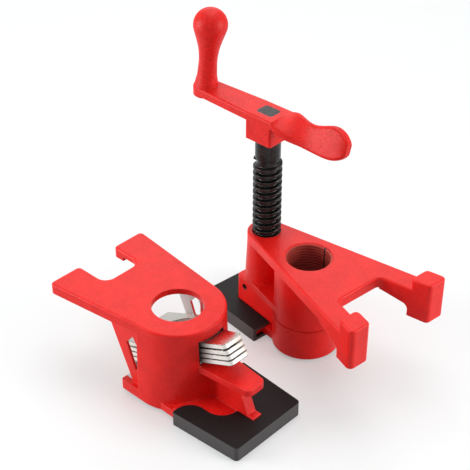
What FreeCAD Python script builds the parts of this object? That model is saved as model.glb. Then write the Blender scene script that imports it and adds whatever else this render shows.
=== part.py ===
import FreeCAD, Part
import math
import os
import Sketcher

# A pipe clamp as two fixtures standing on a bench: the tail jaw with its clutch
# plates, and the head with its screw, crank handle and sliding jaw.
# Lengths are millimetres, angles degrees, +Z is up and the bench is at zero.
# Each fixture is drawn about its own pipe axis with +X pointing at its jaw's tip.

SIZES = [
    ("tail_x", -17.14, "tail fixture's pipe axis"),
    ("tail_y", -33.98, "tail fixture's pipe axis"),
    ("head_x", 10.58, "head fixture's pipe axis"),
    ("head_y", 38.57, "head fixture's pipe axis"),
    ("head_yaw", 173.91, "turn of the head fixture about its pipe axis"),

    ("pad_sole", 2.0, "pad under the jaw plate"),
    ("pad_wall", 2.0, "pad's side walls"),
    ("pad_top", 8.56, "height of a pad's top"),
    ("pad_lip", 2.0, "pad's lip over the jaw plate"),
    ("pad_front", 65.0, "front face of both pads"),
    ("pad_corner", 2.2, "plan rounding of a pad's front corners"),
    ("jaw_corner", 1.5, "rounding of the jaw plates inside the pads"),
    ("seat_gap", 0.3, "gap between a piece and its seat"),

    ("base_top", 8.0, "top of the tail's round base"),
    ("base_radius", 27.0, "round base of the tail"),
    ("base_back", -17.5, "back edge of the tail's base"),
    ("pipe_hole", 14.05, "radius of the tail's pipe holes"),
    ("top_under", 46.0, "underside of the tail's fork"),
    ("top_face", 52.0, "top of the tail's fork"),
    ("top_radius", 25.7, "round end of the tail's fork"),
    ("roof", 48.5, "roof of the clutch chamber"),
    ("fork_end", -63.8, "ends of the tail's fork legs"),
    ("fork_outer", 33.7, "outer side of a fork leg at its end"),
    ("fork_inner", 12.5, "inner side of a fork leg"),
    ("fork_notch", -42.4, "back of the fork's gap"),
    ("fork_corner", 2.6, "plan rounding of the fork legs"),
    ("notch_corner", 6.0, "plan rounding inside the fork's gap"),
    ("web_top_back", -28.0, "back edge of the side walls under the fork"),
    ("web_low_back", -8.0, "the same edge at the bottom"),
    ("chamber_radius", 21.5, "inside of the clutch chamber"),
    ("chamber_back_half", 23.0, "half width of the chamber's back part"),
    ("chamber_step", -5.0, "where that wider part begins"),
    ("window_half", 8.9, "half width of the lever window"),
    ("window_low", 29.6, "bottom of the lever window"),
    ("window_high", 45.6, "top of the lever window"),
    ("window_corner", 1.2, "rounding of the lever window"),
    ("sill_back", 23.4, "back of the window's sill"),
    ("sill_relief", 26.0, "relief behind the window's sill"),
    ("slot_top_x", -9.3, "upper point of the side slot"),
    ("slot_top", 40.0, "height of the upper point"),
    ("slot_back_x", -14.3, "back point of the side slot"),
    ("slot_back", 33.8, "height of the back point"),
    ("slot_low_x", -8.3, "lower point of the side slot"),
    ("slot_low", 17.4, "height of the lower point"),
    ("slot_front_x", -5.6, "front edge of the side slot"),
    ("slot_front_low", 22.0, "lower end of the front edge"),
    ("slot_front_high", 34.5, "upper end of the front edge"),
    ("recess_depth", 1.3, "shallow recess round the side slot"),
    ("recess_front", -4.0, "front of the side recess"),
    ("edge_round", 1.2, "rounding of the castings' top edges"),

    ("flange_top", 29.6, "top of the jaw's stiffening flange"),
    ("flange_thick", 3.8, "thickness of the flange"),
    ("flange_back", 23.4, "where the flange enters the chamber wall"),
    ("flange_root_half", 9.6, "half width of the flange at the wall"),
    ("flange_nose_half", 6.3, "half width of the flange near its nose"),
    ("flange_nose", 56.5, "nose of the flange"),
    ("flange_corner", 3.4, "rounding of the flange's nose"),
    ("web_half", 3.0, "half thickness of the web under the flange"),
    ("web_slant_top", 45.5, "web's slanted end under the flange"),
    ("web_slant_low", 52.6, "web's slanted end at the foot"),
    ("web_foot", 56.6, "end of the web's foot"),
    ("foot_top", 9.3, "top of the web's foot"),

    ("tail_pad_back", 21.6, "back face of the tail's pad"),
    ("tail_pad_back_half", 27.2, "half width of the tail's pad at its back"),
    ("tail_pad_front_half", 24.4, "half width of the tail's pad at its front"),
    ("cut_half", 14.2, "half width of the cut-out in the tail pad's top"),
    ("cut_back_round", 9.6, "rounding where the cut-out leaves the back"),
    ("cut_front", 45.6, "front of the wide part of the cut-out"),
    ("cut_front_round", 10.8, "rounding at the front of the wide part"),
    ("cut_slot_half", 3.3, "half width of the cut-out's slot"),
    ("cut_slot_front", 57.0, "front of the cut-out's slot"),

    ("plate_count", 4, "clutch plates in the pack"),
    ("plate_thick", 2.65, "thickness of a clutch plate"),
    ("plate_pitch", 3.0, "spacing of the clutch plates"),
    ("plate_lift", 0.3, "extra space under the top plate"),
    ("plate_hole", 14.2, "radius of the hole in a clutch plate"),
    ("plate_ring", 18.6, "radius of a clutch plate's ring"),
    ("plate_tab_root", 8.2, "half width of the tab at the ring"),
    ("plate_tab_end", 6.6, "half width of the tab at its end"),
    ("plate_tab_round", 2.2, "rounding of the tab's corners"),
    ("plate_tab_reach", 45.2, "tab end from the pipe axis, along the plate"),
    ("plate_step", 0.35, "how much further each lower tab reaches"),
    ("plate_tail_half", 16.6, "half width of a plate's tail"),
    ("plate_tail_reach", 25.4, "tail end from the pipe axis, along the plate"),
    ("plate_tail_round", 1.0, "rounding of the tail's corners"),
    ("plate_tilt", 22.5, "tilt of the plate pack at rest"),
    ("plate_height", 28.05, "pack's middle on the pipe axis"),
    ("ledge_x", -16.05, "ledge under the plates' tails, from the pipe axis"),
    ("ledge_radius", 1.45, "rounding of the ledge"),
    ("ledge_inner", 10.0, "inner ends of the ledge"),
    ("ledge_outer", 20.0, "outer ends of the ledge"),

    ("spring_wire", 0.75, "radius of the spring wire"),
    ("spring_coil", 16.2, "mean radius of the clutch spring"),
    ("spring_turns", 2.25, "turns of the clutch spring"),

    ("head_under", 52.8, "underside of the head's plate"),
    ("head_top", 58.8, "top of the head's plate"),
    ("spindle_x", 34.14, "screw axis from the pipe axis"),
    ("nose_radius", 10.8, "round end of the head's plate"),
    ("leg_end", -67.3, "back faces of the feet"),
    ("leg_outer", 35.6, "outer side of a leg at the feet"),
    ("leg_inner", 22.2, "inner side of a leg at the feet"),
    ("head_notch", -38.0, "back of the gap between the legs"),
    ("head_notch_half", 15.6, "half width of that gap at its back"),
    ("head_notch_round", 4.0, "rounding in the gap's corners"),
    ("foot_front", -55.2, "front faces of the feet"),
    ("foot_low", 41.4, "bottom of the feet"),
    ("foot_high", 65.2, "top of the feet"),
    ("foot_corner", 2.6, "rounding of the feet"),
    ("leg_low_notch", 51.2, "underside of the legs beside the gap"),
    ("leg_low_foot", 48.0, "underside of the legs at the feet"),
    ("leg_hollow", 3.5, "hollow rounding between leg and foot"),
    ("pipe_boss", 18.5, "radius of the boss for the pipe"),
    ("boss_low", 20.8, "bottom of the pipe boss"),
    ("nut_boss_top", 10.6, "radius of the screw boss at the plate"),
    ("nut_boss_low", 12.0, "radius of the screw boss at its bottom"),
    ("nut_low", 25.2, "bottom of the screw boss"),
    ("rim_top", 29.0, "top of the bottom flange between the bosses"),
    ("middle_web_half", 3.5, "half thickness of the web between the bosses"),
    ("thread_crest", 12.0, "crest radius of the pipe thread"),
    ("thread_root", 13.15, "root radius of the pipe thread"),
    ("thread_mouth", 13.4, "radius of the countersink at the top"),
    ("mouth_depth", 1.1, "depth of the countersink"),
    ("thread_land", 0.22, "half width of a thread groove at the crest, in pitches"),
    ("thread_pitch", 1.81, "pitch of the pipe thread"),

    ("screw_radius", 8.0, "outside radius of the screw"),
    ("screw_root", 6.1, "root radius of the screw"),
    ("screw_pitch", 4.0, "pitch of the screw"),
    ("screw_crest_half", 0.62, "half width of the thread's crest"),
    ("screw_root_half", 1.5, "half width of the thread's root"),
    ("screw_top", 106.6, "top of the screw thread"),
    ("shank_length", 11.9, "plain shank between the thread and the hub"),
    ("shank_radius", 7.0, "plain shank and journal of the screw"),
    ("journal_top", 25.5, "top of the journal"),
    ("journal_low", 11.0, "bottom of the journal"),
    ("journal_groove", 5.4, "radius of the groove for the roll pin"),
    ("running_gap", 0.08, "running clearance"),
    ("hub_height", 10.9, "handle's hub under the arm"),
    ("arm_thick", 4.6, "thickness of the handle's arm"),
    ("square_long", 5.3, "half length of the screw's flatted end"),
    ("square_short", 4.2, "half width of the screw's flatted end"),
    ("square_round", 1.6, "rounding of the flatted end"),

    ("collar_radius", 19.0, "collar of the sliding jaw"),
    ("collar_top", 20.5, "top of the collar"),
    ("collar_bore", 13.9, "bore of the collar"),
    ("lug_half", 9.2, "half width of the lug at its front"),
    ("lug_back_half", 10.8, "half width of the lug at the collar"),
    ("lug_front", 49.1, "front of the lug"),
    ("lug_top", 24.9, "top of the lug"),
    ("lug_corner", 3.0, "rounding of the lug's front corners"),
    ("neck_half", 15.0, "half width of the neck between collar and jaw plate"),
    ("pin_x", 41.6, "roll pin from the pipe axis"),
    ("pin_height", 19.0, "height of the roll pin"),
    ("pin_radius", 2.0, "radius of the roll pin"),
    ("pin_hollow", 1.1, "hollow of the roll pin"),
    ("head_pad_back", 18.3, "back face of the head's pad"),
    ("head_pad_half", 22.8, "half width of the head's pad"),
    ("head_pad_front_half", 22.2, "half width of that pad at its front"),
    ("lug_clearance", 0.5, "gap between the lug and the pad's cut-out"),

    ("handle_turn", 6.3, "turn of the handle"),
    ("arm_root_half", 8.8, "half width of the arm at the hub"),
    ("arm_end_half", 7.2, "half width of the arm at the grip"),
    ("grip_reach", 45.6, "grip axis from the screw axis"),
    ("grip_lean", 5.8, "lean of the grip towards the hub"),
    ("grip_boss_drop", 1.0, "how far the boss under the grip hangs below the arm"),
    ("grip_foot", 7.2, "radius of the grip's foot"),
    ("grip_flare", 5.5, "radius above the flare of the grip's foot"),
    ("grip_flare_rise", 7.8, "flare above the middle of the arm"),
    ("grip_flare_round", 9.9, "hollow rounding at the flare"),
    ("grip_neck", 4.65, "radius of the grip's neck"),
    ("grip_neck_rise", 13.9, "neck above the flare"),
    ("grip_neck_round", 43.4, "hollow rounding along the neck"),
    ("grip_bulb", 9.33, "radius of the grip's bulb"),
    ("grip_bulb_rise", 16.9, "middle of the bulb above the neck"),
    ("grip_tip", 0.05, "how far the grip's tip rises above the bulb"),
    ("wing_root", -9.0, "where the wing leaves the hub"),
    ("wing_shoulder", -15.0, "first section of the wing"),
    ("wing_shoulder_half", 8.5, "half width there"),
    ("wing_shoulder_tilt", 22.0, "twist there"),
    ("wing_shoulder_drop", 0.8, "how far it lies below the middle of the arm"),
    ("wing_bend", -22.0, "second section"),
    ("wing_bend_half", 7.3, "half width there"),
    ("wing_bend_tilt", 41.0, "twist there"),
    ("wing_bend_drop", 1.6, "how far it lies below the middle of the arm"),
    ("wing_waist", -29.0, "waist of the wing"),
    ("wing_waist_half", 6.9, "half width at the waist"),
    ("wing_waist_tilt", 58.0, "twist at the waist"),
    ("wing_waist_drop", 2.1, "how far it lies below the middle of the arm"),
    ("wing_flare", -36.0, "where the wing widens again"),
    ("wing_flare_half", 7.9, "half width there"),
    ("wing_flare_tilt", 67.0, "twist there"),
    ("wing_flare_drop", 1.2, "how far it lies below the middle of the arm"),
    ("wing_blade", -43.5, "wide part of the wing"),
    ("wing_blade_half", 8.8, "half width of the wide part"),
    ("wing_blade_tilt", 70.0, "twist of the wide part"),
    ("wing_tip", -50.2, "near the tip"),
    ("wing_tip_half", 6.6, "half width near the tip"),
    ("wing_end", -53.6, "end of the wing"),
    ("wing_end_half", 3.3, "half width at the end"),
    ("wing_thick", 2.8, "half thickness of the wing"),
    ("wing_end_thick", 1.8, "half thickness at the end"),
    ("wing_rounding", 0.7, "rounding of the wing's edges, as a share of half its thickness"),
]


class Size:
    """A length or angle with the expression that ties it to the sheet."""

    def __init__(self, value, text):
        self.value = value
        self.text = text

    def __add__(self, other):
        other = as_size(other)
        return Size(self.value + other.value, "(%s + %s)" % (self.text, other.text))

    def __sub__(self, other):
        other = as_size(other)
        return Size(self.value - other.value, "(%s - %s)" % (self.text, other.text))

    def __rsub__(self, other):
        return as_size(other) - self

    def __mul__(self, other):
        other = as_size(other)
        return Size(self.value * other.value, "(%s * %s)" % (self.text, other.text))

    def __truediv__(self, other):
        other = as_size(other)
        return Size(self.value / other.value, "(%s / %s)" % (self.text, other.text))

    def __neg__(self):
        return Size(-self.value, "(0 - %s)" % self.text)

    __radd__ = __add__
    __rmul__ = __mul__


def as_size(item):
    if isinstance(item, Size):
        return item
    return Size(float(item), repr(item))


def tangent_slope(centre_x, radius, x, y):
    """Slope of the line from a point to the circle that it touches on the X axis."""
    away = centre_x - x
    length = math.hypot(away.value, y.value)
    text = "tan(atan(%s / %s) - asin(%s / sqrt(%s ^ 2 + %s ^ 2)))" % (
        y.text, away.text, radius.text, away.text, y.text)
    angle = math.atan2(y.value, away.value) - math.asin(radius.value / length)
    return Size(math.tan(angle), text)


def cosine(angle):
    return Size(math.cos(math.radians(angle.value)), "cos(%s)" % angle.text)


def sine(angle):
    return Size(math.sin(math.radians(angle.value)), "sin(%s)" % angle.text)


NAMED = {name: Size(float(value), "sizes." + name) for name, value, note in SIZES}


def size(name):
    return NAMED[name]


def make_sheet(doc):
    sheet = doc.addObject("Spreadsheet::Sheet", "sizes")
    for row, (name, value, note) in enumerate(SIZES, start=1):
        sheet.set("A%d" % row, name)
        sheet.set("B%d" % row, str(value))
        sheet.set("C%d" % row, note)
        sheet.setAlias("B%d" % row, name)
    doc.recompute()
    return sheet


# Helpers that draw in a sub-part

def bind(item, prop, value):
    item.setExpression(prop, as_size(value).text)


def new_body(doc, label, x, y, yaw, height=None):
    body = doc.addObject("PartDesign::Body", label)
    body.Label = label
    body.Placement = FreeCAD.Placement(
        FreeCAD.Vector(x.value, y.value, height.value if height else 0),
        FreeCAD.Rotation(FreeCAD.Vector(0, 0, 1), yaw.value))
    bind(body, "Placement.Base.x", x)
    bind(body, "Placement.Base.y", y)
    if height:
        bind(body, "Placement.Base.z", height)
    bind(body, "Placement.Rotation.Angle", yaw)
    return body


def tail_body(doc, label):
    return new_body(doc, label, size("tail_x"), size("tail_y"), Size(0.0, "0"))


def head_body(doc, label):
    return new_body(doc, label, size("head_x"), size("head_y"), size("head_yaw"))


def spindle_body(doc, label, turn):
    yaw = size("head_yaw")
    x = size("head_x") + size("spindle_x") * cosine(yaw)
    y = size("head_y") + size("spindle_x") * sine(yaw)
    return new_body(doc, label, x, y, yaw + turn)


def sketch_on(body, name, role, offset=None, tilt=None):
    plane = [item for item in body.Origin.OriginFeatures if item.Role == role][0]
    sketch = body.newObject("Sketcher::SketchObject", name)
    sketch.AttachmentSupport = [(plane, "")]
    sketch.MapMode = "FlatFace"
    sketch.AttachmentOffset = FreeCAD.Placement(
        FreeCAD.Vector(0, 0, offset.value if offset else 0),
        FreeCAD.Rotation(FreeCAD.Vector(0, 0, 1), tilt.value if tilt else 0))
    if offset:
        bind(sketch, "AttachmentOffset.Base.z", offset)
    if tilt:
        bind(sketch, "AttachmentOffset.Rotation.Angle", tilt)
    return sketch


def fix(sketch, kind, geometry, point, value):
    number = sketch.addConstraint(
        Sketcher.Constraint(kind, -1, 1, geometry, point, value.value))
    bind(sketch, "Constraints[%d]" % number, value)


def fix_point(sketch, geometry, point, x, y):
    fix(sketch, "DistanceX", geometry, point, as_size(x))
    fix(sketch, "DistanceY", geometry, point, as_size(y))


def fix_radius(sketch, geometry, radius):
    number = sketch.addConstraint(
        Sketcher.Constraint("Radius", geometry, radius.value))
    bind(sketch, "Constraints[%d]" % number, radius)


def circle(sketch, x, y, radius):
    x, y, radius = as_size(x), as_size(y), as_size(radius)
    number = sketch.addGeometry(Part.Circle(
        FreeCAD.Vector(x.value, y.value, 0), FreeCAD.Vector(0, 0, 1), radius.value))
    fix_point(sketch, number, 3, x, y)
    fix_radius(sketch, number, radius)


def corner(x, y, radius=None):
    return {"x": as_size(x), "y": as_size(y), "round": radius, "turn": 0}


def wrap(x, y, radius, turn=1):
    return {"x": as_size(x), "y": as_size(y), "round": radius, "turn": turn}


def mirrored(items):
    """The items of one side followed by their mirror images, as a closed path."""
    other = [dict(item, y=-item["y"]) for item in reversed(items)]
    return items + other


def heading(start, end):
    """Direction of the straight line that leaves one item for the next."""
    dx = end["x"].value - start["x"].value
    dy = end["y"].value - start["y"].value
    offset = 0.0
    if end["turn"]:
        offset += end["turn"] * end["round"].value
    if start["turn"]:
        offset -= start["turn"] * start["round"].value
    return math.atan2(dy, dx) - math.asin(offset / math.hypot(dx, dy))


def ends_at(item, arriving, leaving):
    """Where the path reaches and leaves an item, and its arc if it has one."""
    x, y = item["x"].value, item["y"].value
    if item["turn"]:
        radius, side = item["round"].value, item["turn"]
        first = FreeCAD.Vector(x + side * radius * math.sin(arriving),
                               y - side * radius * math.cos(arriving), 0)
        last = FreeCAD.Vector(x + side * radius * math.sin(leaving),
                              y - side * radius * math.cos(leaving), 0)
        return first, last, FreeCAD.Vector(x, y, 0), side
    if item["round"] is None:
        point = FreeCAD.Vector(x, y, 0)
        return point, point, None, 0
    turn = math.atan2(math.sin(leaving - arriving), math.cos(leaving - arriving))
    side = 1 if turn > 0 else -1
    radius = item["round"].value
    reach = radius * math.tan(abs(turn) / 2)
    first = FreeCAD.Vector(x - reach * math.cos(arriving), y - reach * math.sin(arriving), 0)
    last = FreeCAD.Vector(x + reach * math.cos(leaving), y + reach * math.sin(leaving), 0)
    centre = first + FreeCAD.Vector(-math.sin(arriving), math.cos(arriving), 0) * (side * radius)
    return first, last, centre, side


def outline(sketch, items):
    """A closed, fully dimensioned path of straight lines and tangent arcs."""
    count = len(items)
    headings = [heading(items[i], items[(i + 1) % count]) for i in range(count)]
    stops = [ends_at(items[i], headings[i - 1], headings[i]) for i in range(count)]
    lines, arcs = [], []
    for i in range(count):
        following = stops[(i + 1) % count]
        lines.append(sketch.addGeometry(Part.LineSegment(stops[i][1], following[0])))
    for i in range(count):
        first, last, centre, side = stops[i]
        if centre is None:
            arcs.append(None)
            continue
        begin, end = (first, last) if side > 0 else (last, first)
        radius = items[i]["round"].value
        angles = [math.atan2(point.y - centre.y, point.x - centre.x) for point in (begin, end)]
        arcs.append(sketch.addGeometry(Part.ArcOfCircle(
            Part.Circle(centre, FreeCAD.Vector(0, 0, 1), radius), angles[0], angles[1])))
    for i in range(count):
        item, before, after = items[i], lines[i - 1], lines[i]
        if arcs[i] is None:
            sketch.addConstraint(Sketcher.Constraint("Coincident", before, 2, after, 1))
            fix_point(sketch, after, 1, item["x"], item["y"])
            continue
        near, far = (1, 2) if stops[i][3] > 0 else (2, 1)
        sketch.addConstraint(Sketcher.Constraint("Tangent", before, 2, arcs[i], near))
        sketch.addConstraint(Sketcher.Constraint("Tangent", after, 1, arcs[i], far))
        fix_radius(sketch, arcs[i], item["round"])
        if item["turn"]:
            fix_point(sketch, arcs[i], 3, item["x"], item["y"])
            continue
        point = sketch.addGeometry(
            Part.Point(FreeCAD.Vector(item["x"].value, item["y"].value, 0)), True)
        fix_point(sketch, point, 1, item["x"], item["y"])
        sketch.addConstraint(Sketcher.Constraint("PointOnObject", point, 1, before))
        sketch.addConstraint(Sketcher.Constraint("PointOnObject", point, 1, after))


def rectangle(sketch, x0, x1, y0, y1, radius=None):
    outline(sketch, [corner(x0, y0, radius), corner(x1, y0, radius),
                     corner(x1, y1, radius), corner(x0, y1, radius)])


def extrude(body, kind, name, sketch, length, backwards=False, both=False):
    item = body.newObject("PartDesign::" + kind, name)
    item.Profile = sketch
    bind(item, "Length", length)
    if both:
        item.SideType = "Symmetric"
    elif backwards:
        item.Reversed = True
    body.Document.recompute()
    return item


def pad(body, name, sketch, length, **options):
    return extrude(body, "Pad", name, sketch, length, **options)


def cut(body, name, sketch, length, **options):
    before = body.Shape.Volume
    item = extrude(body, "Pocket", name, sketch, length, **options)
    print("%s: %s removes %.0f mm3" % (body.Label, name, before - body.Shape.Volume))
    return item


def revolve(body, kind, name, sketch):
    item = body.newObject("PartDesign::" + kind, name)
    item.Profile = sketch
    item.ReferenceAxis = (sketch, ["V_Axis"])
    item.Angle = 360
    body.Document.recompute()
    return item


def loft(body, name, first, others, straight):
    item = body.newObject("PartDesign::AdditiveLoft", name)
    item.Profile = first
    item.Sections = others
    item.Ruled = straight
    body.Document.recompute()
    return item


def soften(body, name, radius, wanted):
    """Round the edges of the finished shape that a test picks out."""
    base = body.Tip
    names = ["Edge%d" % (i + 1) for i, edge in enumerate(base.Shape.Edges) if wanted(edge)]
    item = body.newObject("PartDesign::Fillet", name)
    item.Base = (base, names)
    item.Radius = radius.value
    bind(item, "Radius", radius)
    body.Document.recompute()
    print("%s: %s rounds %d edges, %s" % (body.Label, name, len(names), item.State))
    return item


def lies_at(edge, height):
    box = edge.BoundBox
    return abs(box.ZMin - height) < 0.001 and abs(box.ZMax - height) < 0.001


# Tail fixture

def tail_casting(doc):
    body = tail_body(doc, "tail_casting")
    low, middle = size("pad_sole"), size("top_under")

    # Chamber walls: round at the front, straight back edges leaning outwards.
    foot = sketch_on(body, "wall_foot", "XY_Plane", low)
    foot_half = size("base_radius")
    outline(foot, [wrap(0, 0, foot_half), corner(size("web_low_back"), foot_half),
                   corner(size("web_low_back"), -foot_half)])
    head = sketch_on(body, "wall_head", "XY_Plane", middle)
    slope = (size("fork_outer") - size("top_radius")) / (-size("fork_end"))
    head_half = size("top_radius") - slope * size("web_top_back")
    outline(head, [wrap(0, 0, size("top_radius")),
                   corner(size("web_top_back"), head_half),
                   corner(size("web_top_back"), -head_half)])
    loft(body, "walls", foot, [head], True)

    # Fork plate with its two legs.
    fork = sketch_on(body, "fork_plan", "XY_Plane", size("top_face"))
    end, outer, inner = size("fork_end"), size("fork_outer"), size("fork_inner")
    outline(fork, [wrap(0, 0, size("top_radius")),
                   corner(end, outer, size("fork_corner")), corner(end, inner, size("fork_corner")),
                   corner(size("fork_notch"), inner, size("notch_corner")),
                   corner(size("fork_notch"), -inner, size("notch_corner")),
                   corner(end, -inner, size("fork_corner")), corner(end, -outer, size("fork_corner"))])
    pad(body, "fork", fork, size("top_face") - middle, backwards=True)

    # Jaw plate inside the pad, and the raised island in the pad's cut-out.
    jaw = sketch_on(body, "jaw_plan", "XY_Plane", low)
    inset = size("pad_wall") + size("seat_gap")
    front = size("pad_front") - inset
    outline(jaw, mirrored([corner(0, -size("base_radius") + inset),
                           corner(size("tail_pad_back"), -size("tail_pad_back_half") + inset),
                           corner(front, -size("tail_pad_front_half") + inset, size("jaw_corner"))]))
    pad(body, "jaw_plate", jaw, size("pad_top") - size("pad_lip") - low)
    island = sketch_on(body, "island_plan", "XY_Plane", low)
    outline(island, cutout_path(size("seat_gap")))
    pad(body, "island", island, size("base_top") - low)

    # Shoulders beside the round base, ahead of the pipe and behind the pad.
    sides = sketch_on(body, "shoulder_plan", "XY_Plane", low)
    shoulder_front = size("tail_pad_back") - size("seat_gap")
    rectangle(sides, size("base_back"), shoulder_front,
              -size("base_radius"), size("base_radius"), size("edge_round"))
    pad(body, "shoulders", sides, size("base_top") - low)

    # Stiffening web and flange of the jaw.
    web = sketch_on(body, "web_side", "XZ_Plane")
    under = size("flange_top") - size("flange_thick") / 2
    outline(web, [corner(size("flange_back"), low), corner(size("web_foot"), low),
                  corner(size("web_foot"), size("foot_top")),
                  corner(size("web_slant_low"), size("foot_top")),
                  corner(size("web_slant_top"), under), corner(size("flange_back"), under)])
    pad(body, "web", web, size("web_half") * 2, both=True)
    flange = sketch_on(body, "flange_plan", "XY_Plane", size("flange_top"))
    outline(flange, mirrored([
        corner(size("flange_back"), -size("flange_root_half")),
        corner(size("flange_nose"), -size("flange_nose_half"), size("flange_corner"))]))
    pad(body, "flange", flange, size("flange_thick"), backwards=True)

    # Clutch chamber, open at the back, with its window for the lever tabs.
    radius = size("chamber_radius")
    hollow = sketch_on(body, "hollow_plan", "XY_Plane", middle)
    far = size("web_top_back") * 2
    outline(hollow, [wrap(0, 0, radius), corner(far, radius), corner(far, -radius)])
    cut(body, "hollow", hollow, middle - size("base_top"))
    wider = sketch_on(body, "wider_plan", "XY_Plane", size("roof"))
    rectangle(wider, far, size("chamber_step"),
              -size("chamber_back_half"), size("chamber_back_half"))
    cut(body, "wider", wider, size("roof") - size("base_top"))
    chamber = sketch_on(body, "roof_plan", "XY_Plane", size("roof"))
    circle(chamber, 0, 0, radius)
    cut(body, "roof", chamber, size("roof") - middle)
    window = sketch_on(body, "window_shape", "YZ_Plane", size("base_radius") * 2)
    rectangle(window, -size("window_half"), size("window_half"),
              size("window_low"), size("window_high"), size("window_corner"))
    cut(body, "window", window, size("base_radius") * 2 - size("chamber_radius") / 2)
    sill = sketch_on(body, "sill_shape", "YZ_Plane", size("sill_back"))
    rectangle(sill, -size("window_half"), size("window_half"),
              size("sill_relief"), size("window_low") + size("window_corner"))
    cut(body, "sill", sill, size("chamber_radius") / 2)

    # Pointed slot through both side walls, in a shallow recess.
    recess = sketch_on(body, "recess_shape", "XZ_Plane", -size("base_radius") * 2)
    back_low, back_high = size("base_back") * 2, size("web_top_back") * 2
    outline(recess, [corner(back_low, size("base_top")),
                     corner(size("recess_front"), size("base_top")),
                     corner(size("recess_front"), middle), corner(back_high, middle)])
    wall = size("base_radius") * 2 - (size("top_radius") - size("recess_depth"))
    cut(body, "recess_far", recess, wall, backwards=True)
    other = sketch_on(body, "recess_shape_near", "XZ_Plane", size("base_radius") * 2)
    outline(other, [corner(back_low, size("base_top")),
                    corner(size("recess_front"), size("base_top")),
                    corner(size("recess_front"), middle), corner(back_high, middle)])
    cut(body, "recess_near", other, wall)
    slot = sketch_on(body, "slot_shape", "XZ_Plane")
    outline(slot, [corner(size("slot_low_x"), size("slot_low")),
                   corner(size("slot_front_x"), size("slot_front_low")),
                   corner(size("slot_front_x"), size("slot_front_high")),
                   corner(size("slot_top_x"), size("slot_top")),
                   corner(size("slot_back_x"), size("slot_back"))])
    cut(body, "side_slots", slot, size("base_radius") * 4, both=True)

    # Rounded ledge in two halves, on which the plates' tails rock.
    ledge = sketch_on(body, "ledge_shape", "XZ_Plane")
    at, round_top = size("ledge_x"), size("ledge_radius")
    crest = pack_under(at) - (round_top + size("seat_gap")) / cosine(size("plate_tilt"))
    rectangle(ledge, at - round_top, at + round_top, low, crest)
    pad(body, "ledge", ledge, size("ledge_outer") * 2, both=True)
    rocker = sketch_on(body, "rocker_shape", "XZ_Plane")
    circle(rocker, at, crest, round_top)
    pad(body, "rocker", rocker, size("ledge_outer") * 2, both=True)
    between = sketch_on(body, "ledge_gap", "XZ_Plane")
    rectangle(between, at - round_top * 2, at + round_top * 2,
              size("base_top"), crest + round_top * 2)
    cut(body, "ledge_opening", between, size("ledge_inner") * 2, both=True)

    # Holes for the pipe through the top and the base.
    bore = sketch_on(body, "bore_plan", "XY_Plane", size("top_face"))
    circle(bore, 0, 0, size("pipe_hole"))
    cut(body, "pipe_bore", bore, size("top_face"))

    height = size("top_face").value
    hole = size("pipe_hole").value
    soften(body, "top_edges", size("edge_round"),
           lambda edge: lies_at(edge, height) and edge.BoundBox.DiagonalLength > 0
           and not (hasattr(edge.Curve, "Radius") and abs(edge.Curve.Radius - hole) < 0.01))
    return body


def pack_under(x):
    """Height of the lowest plate's underside at a distance from the pipe axis."""
    tilt = size("plate_tilt")
    below = size("plate_pitch") * ((size("plate_count") - 1) / 2) + size("plate_thick") / 2
    return size("plate_height") + x * (sine(tilt) / cosine(tilt)) - below / cosine(tilt)


def cutout_path(inset):
    """Path of the opening in the tail pad's top, drawn smaller by an inset."""
    back = size("tail_pad_back") - size("pad_wall")
    half = size("cut_half") - inset
    edge = size("tail_pad_back") - inset
    wide = size("cut_half") + size("cut_back_round") + size("seat_gap")
    slot = size("cut_slot_half") - inset
    side = [corner(back, -wide), corner(edge, -wide),
            corner(edge, -half, size("cut_back_round") + inset),
            corner(size("cut_front") - inset, -half, size("cut_front_round") - inset),
            corner(size("cut_front") - inset, -slot),
            corner(size("cut_slot_front") - inset, -slot)]
    return mirrored(side)


def pad_shell(body, back, back_half, front_half):
    """A jaw pad: sole, walls and lip round a jaw plate, open at the back."""
    plan = sketch_on(body, "pad_plan", "XY_Plane")
    outline(plan, mirrored([
        corner(back, -back_half, size("seat_gap") * 3),
        corner(size("pad_front"), -front_half, size("pad_corner"))]))
    pad(body, "block", plan, size("pad_top"))
    inside = sketch_on(body, "inside_plan", "XY_Plane", size("pad_top") - size("pad_lip"))
    wall = size("pad_wall")
    outline(inside, mirrored([
        corner(back - wall, -back_half + wall), corner(back, -back_half + wall),
        corner(size("pad_front") - wall, -front_half + wall, size("jaw_corner"))]))
    cut(body, "inside", inside, size("pad_top") - size("pad_lip") - size("pad_sole"))


def tail_jaw_pad(doc):
    body = tail_body(doc, "tail_jaw_pad")
    pad_shell(body, size("tail_pad_back"), size("tail_pad_back_half"),
              size("tail_pad_front_half"))
    opening = sketch_on(body, "opening_plan", "XY_Plane", size("pad_top"))
    outline(opening, cutout_path(Size(0.0, "0")))
    cut(body, "opening", opening, size("pad_lip"))
    return body


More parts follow.
